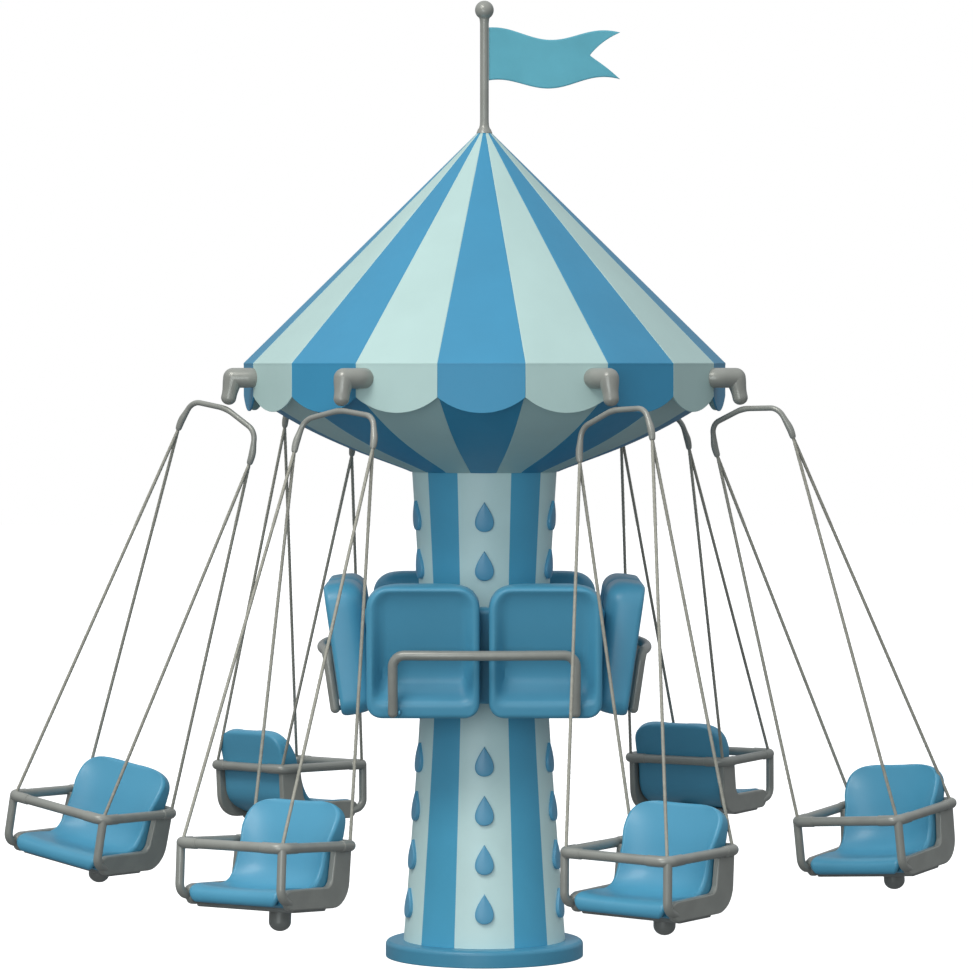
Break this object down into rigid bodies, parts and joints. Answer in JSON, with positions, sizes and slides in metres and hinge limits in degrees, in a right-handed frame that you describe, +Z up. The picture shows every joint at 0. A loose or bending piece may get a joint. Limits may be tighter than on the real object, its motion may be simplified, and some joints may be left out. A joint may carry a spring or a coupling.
{
  "type": "chair swing and drop tower ride",
  "caption": "Small fairground ride: swing chairs hang on ropes from a striped conical canopy, and a carriage of moulded seats with lap bars slides on the waisted tower.",
  "frame": {"origin": "centre of the base plinth's underside, on the tower's axis", "axes": "+Z up the tower; -Y is the front that the picture shows; +X to the right of it"},
  "size_m": [4.7283, 4.4514, 4.778],
  "materials": {
    "canopy_blue": "satin moulded panels, blue with pale stripes",
    "canopy_pale": "satin moulded panels, pale with blue scallops between",
    "tower_pale": "satin paint, pale with blue stripes and drops",
    "base_blue": "satin dark blue paint",
    "seat_blue": "glossy moulded plastic",
    "grey_steel": "semi-gloss grey paint on steel tube",
    "rope_grey": "laid rope with grey steel bow and ferrules",
    "flag_turquoise": "plain woven cloth"
  },
  "bodies": {
    "tower": {"base_plinth": "base_blue", "tower_column": "tower_pale"},
    "canopy": {"roof_cone": "canopy_blue", "valance": "canopy_pale", "canopy_underside": "canopy_blue", "canopy_hub": "grey_steel", "flagpole": "grey_steel", "flag": "flag_turquoise", "arm_left_outer": "grey_steel", "arm_left_front": "grey_steel", "arm_right_front": "grey_steel", "arm_right_outer": "grey_steel", "arm_back_right": "grey_steel", "arm_back_left": "grey_steel"},
    "carriage": {"carriage_collar": "base_blue", "drop_seat_front_left": "seat_blue", "drop_seat_front_right": "seat_blue", "drop_seat_right_left": "seat_blue", "drop_seat_right_right": "seat_blue", "drop_seat_back_left": "seat_blue", "drop_seat_back_right": "seat_blue", "drop_seat_left_left": "seat_blue", "drop_seat_left_right": "seat_blue"},
    "swing_left_outer": {"hanger_left_outer": "rope_grey", "chair_frame_left_outer": "grey_steel", "chair_shell_left_outer": "seat_blue"},
    "swing_left_front": {"hanger_left_front": "rope_grey", "chair_frame_left_front": "grey_steel", "chair_shell_left_front": "seat_blue"},
    "swing_right_front": {"hanger_right_front": "rope_grey", "chair_frame_right_front": "grey_steel", "chair_shell_right_front": "seat_blue"},
    "swing_right_outer": {"hanger_right_outer": "rope_grey", "chair_frame_right_outer": "grey_steel", "chair_shell_right_outer": "seat_blue"},
    "swing_back_right": {"hanger_back_right": "rope_grey", "chair_frame_back_right": "grey_steel", "chair_shell_back_right": "seat_blue"},
    "swing_back_left": {"hanger_back_left": "rope_grey", "chair_frame_back_left": "grey_steel", "chair_shell_back_left": "seat_blue"},
    "restraint_front": {"lap_bar_front": "grey_steel"},
    "restraint_right": {"lap_bar_right": "grey_steel"},
    "restraint_back": {"lap_bar_back": "grey_steel"},
    "restraint_left": {"lap_bar_left": "grey_steel"}
  },
  "joints": [
    {"name": "canopy_spin", "type": "hinge", "parent": "tower", "child": "canopy", "pos_m": [0, 0, 2.5403], "axis": [0, 0, 1], "continuous": true},
    {"name": "carriage_drop", "type": "slide", "parent": "tower", "child": "carriage", "axis": [0, 0, -1], "range_m": [-0.6, 1.03]},
    {"name": "left_outer_swing", "type": "hinge", "parent": "canopy", "child": "swing_left_outer", "pos_m": [-1.26726, -0.41665, 2.7445], "axis": [0.4115, 0.9114, 0], "range_deg": [-20.8, 20]},
    {"name": "left_front_swing", "type": "hinge", "parent": "canopy", "child": "swing_left_front", "pos_m": [-0.68506, -1.14466, 2.7445], "axis": [-0.8821, 0.471, 0], "range_deg": [-18.9, 20]},
    {"name": "right_front_swing", "type": "hinge", "parent": "canopy", "child": "swing_right_front", "pos_m": [0.60666, -1.18807, 2.7445], "axis": [-0.9627, -0.2706, 0], "range_deg": [-16.1, 20]},
    {"name": "right_outer_swing", "type": "hinge", "parent": "canopy", "child": "swing_right_outer", "pos_m": [1.26799, -0.41444, 2.7445], "axis": [0.2215, -0.9751, 0], "range_deg": [-18.9, 20]},
    {"name": "back_right_swing", "type": "hinge", "parent": "canopy", "child": "swing_back_right", "pos_m": [0.86459, 1.01589, 2.7445], "axis": [0.9426, -0.3338, 0], "range_deg": [-25.7, 20]},
    {"name": "back_left_swing", "type": "hinge", "parent": "canopy", "child": "swing_back_left", "pos_m": [-0.85391, 1.02489, 2.7445], "axis": [0.9686, 0.2487, 0], "range_deg": [-22.8, 20]},
    {"name": "front_lap_bar_tilt", "type": "hinge", "parent": "carriage", "child": "restraint_front", "pos_m": [0, -0.73211, 1.2765], "axis": [1, 0, 0], "range_deg": [0, 110]},
    {"name": "right_lap_bar_tilt", "type": "hinge", "parent": "carriage", "child": "restraint_right", "pos_m": [0.73211, 0, 1.2765], "axis": [0, 1, 0], "range_deg": [0, 110]},
    {"name": "back_lap_bar_tilt", "type": "hinge", "parent": "carriage", "child": "restraint_back", "pos_m": [0, 0.73211, 1.2765], "axis": [-1, 0, 0], "range_deg": [0, 110]},
    {"name": "left_lap_bar_tilt", "type": "hinge", "parent": "carriage", "child": "restraint_left", "pos_m": [-0.73211, 0, 1.2765], "axis": [0, -1, 0], "range_deg": [0, 110]}
  ]
}
